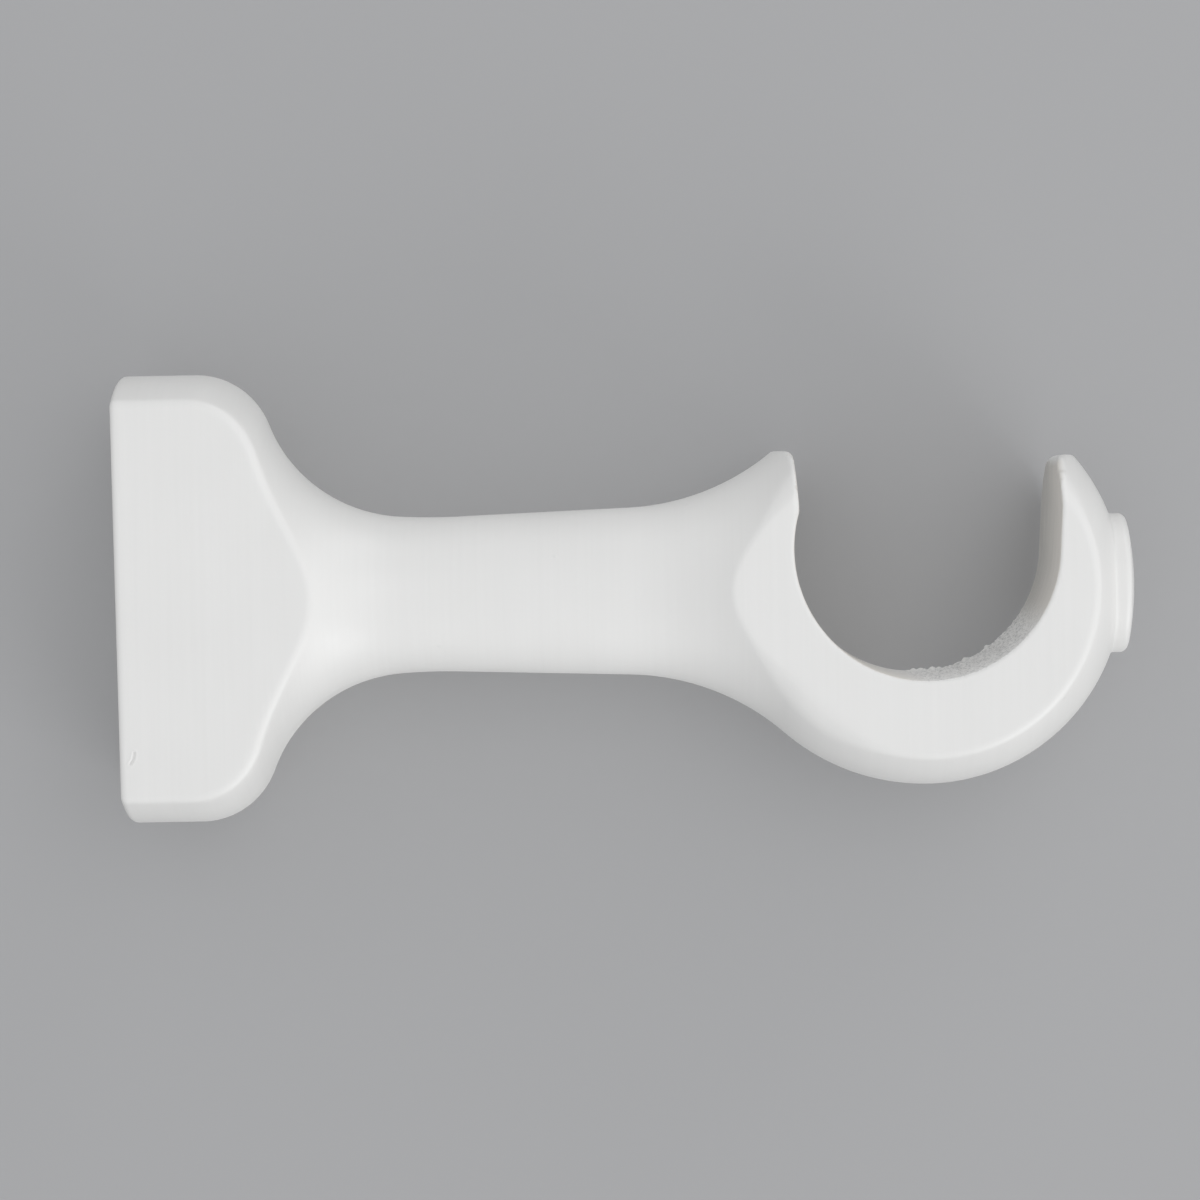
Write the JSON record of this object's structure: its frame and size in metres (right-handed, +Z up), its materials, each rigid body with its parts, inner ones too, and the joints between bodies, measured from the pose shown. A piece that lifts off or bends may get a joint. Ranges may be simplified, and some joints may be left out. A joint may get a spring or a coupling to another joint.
{
  "type": "curtain pole bracket",
  "caption": "Turned wooden bracket with sawn flat sides: a round wall end, a slim neck and an open cup that a curtain pole drops into.",
  "frame": {"origin": "centre of the wall face, at the mouth of the wall screw's hole", "axes": "+X along the arm away from the wall, +Y along the pole, +Z up, with the cup open upwards"},
  "size_m": [0.1168, 0.0254, 0.0518],
  "materials": {
    "painted_wood": "satin white paint on turned wood"
  },
  "bodies": {
    "root": {"bracket": "painted_wood"}
  },
  "joints": []
}
